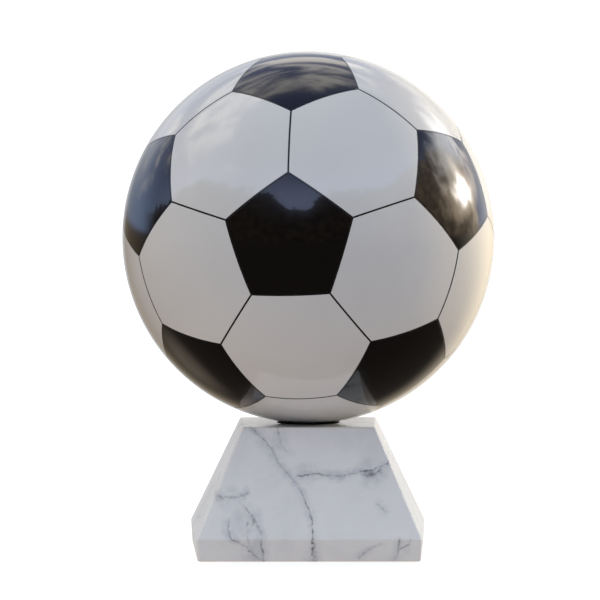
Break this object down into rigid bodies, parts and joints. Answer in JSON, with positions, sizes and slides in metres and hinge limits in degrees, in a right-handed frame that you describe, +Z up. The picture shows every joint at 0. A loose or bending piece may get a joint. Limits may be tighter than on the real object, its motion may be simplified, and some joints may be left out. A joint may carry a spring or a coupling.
{
  "type": "football trophy",
  "caption": "Display trophy: a full-size glossy football of black pentagon and white hexagon panels, fixed on a sloping veined marble plinth that stands on felt.",
  "frame": {"origin": "middle of the felt's underside, straight below the ball's centre, on the surface the trophy stands on", "axes": "+X to the right and +Y away from a viewer facing the front panel, +Z up"},
  "size_m": [0.2198, 0.22, 0.2961],
  "materials": {
    "white_lacquer": "high gloss lacquer over white, reflecting sharply",
    "black_lacquer": "high gloss lacquer over black",
    "joint_black": "black joint filler under the gloss lacquer, flush with the panels",
    "marble": "polished white marble with thin dark grey veins and pale cloudy bands",
    "core_resin": "plain moulded resin, hidden",
    "gasket_rubber": "matt black rubber",
    "hardware_steel": "zinc plated steel, hidden",
    "insert_brass": "turned brass, hidden",
    "base_felt": "dark charcoal felt"
  },
  "bodies": {
    "root": {"black_pentagon_01": "black_lacquer", "black_pentagon_02": "black_lacquer", "black_pentagon_03": "black_lacquer", "black_pentagon_04": "black_lacquer", "black_pentagon_05": "black_lacquer", "black_pentagon_06": "black_lacquer", "black_pentagon_07": "black_lacquer", "black_pentagon_08": "black_lacquer", "black_pentagon_09": "black_lacquer", "black_pentagon_10": "black_lacquer", "black_pentagon_11": "black_lacquer", "black_pentagon_12": "black_lacquer", "white_hexagon_01": "white_lacquer", "white_hexagon_02": "white_lacquer", "white_hexagon_03": "white_lacquer", "white_hexagon_04": "white_lacquer", "white_hexagon_05": "white_lacquer", "white_hexagon_06": "white_lacquer", "white_hexagon_07": "white_lacquer", "white_hexagon_08": "white_lacquer", "white_hexagon_09": "white_lacquer", "white_hexagon_10": "white_lacquer", "white_hexagon_11": "white_lacquer", "white_hexagon_12": "white_lacquer", "white_hexagon_13": "white_lacquer", "white_hexagon_14": "white_lacquer", "white_hexagon_15": "white_lacquer", "white_hexagon_16": "white_lacquer", "white_hexagon_17": "white_lacquer", "white_hexagon_18": "white_lacquer", "white_hexagon_19": "white_lacquer", "white_hexagon_20": "white_lacquer", "joint_filler": "joint_black", "core_shell_upper": "core_resin", "core_shell_lower": "core_resin", "core_joining_ring": "core_resin", "anchor_boss": "core_resin", "threaded_insert": "insert_brass", "tie_rod": "hardware_steel", "clamp_washer": "hardware_steel", "lock_washer": "hardware_steel", "tie_nut": "hardware_steel", "seat_gasket": "gasket_rubber", "marble_plinth": "marble", "base_felt": "base_felt"}
  },
  "joints": []
}
